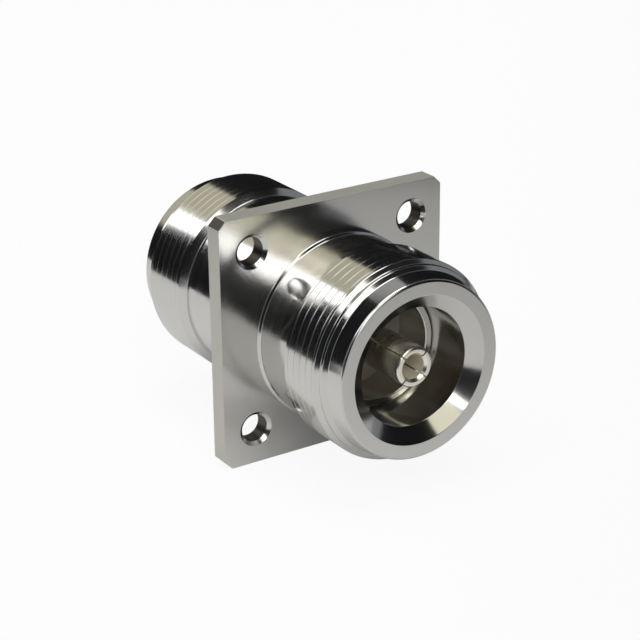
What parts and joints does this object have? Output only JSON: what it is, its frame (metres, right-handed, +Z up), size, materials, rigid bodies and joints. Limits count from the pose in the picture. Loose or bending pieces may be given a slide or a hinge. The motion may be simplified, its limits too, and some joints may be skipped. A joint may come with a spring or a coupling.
{
  "type": "coaxial adapter",
  "caption": "Panel-mount coaxial adapter with a threaded socket at each end of a square flange with countersunk corner holes.",
  "frame": {"origin": "centre of the flange's rear face, on the adapter's axis", "axes": "+Y along the adapter's axis, towards its longer, rear end; +Z up, square to the flange's top edge"},
  "size_m": [0.0254, 0.0367, 0.0254],
  "materials": {
    "plated_body": "polished",
    "plated_sleeve": "satin",
    "contact_metal": "satin",
    "insulator": "satin"
  },
  "bodies": {
    "root": {"flanged_body": "plated_body", "front_outer_sleeve": "plated_sleeve", "rear_outer_sleeve": "plated_sleeve", "front_contact": "contact_metal", "rear_contact": "contact_metal", "centre_conductor": "contact_metal", "front_insulator": "insulator", "rear_insulator": "insulator"}
  },
  "joints": []
}
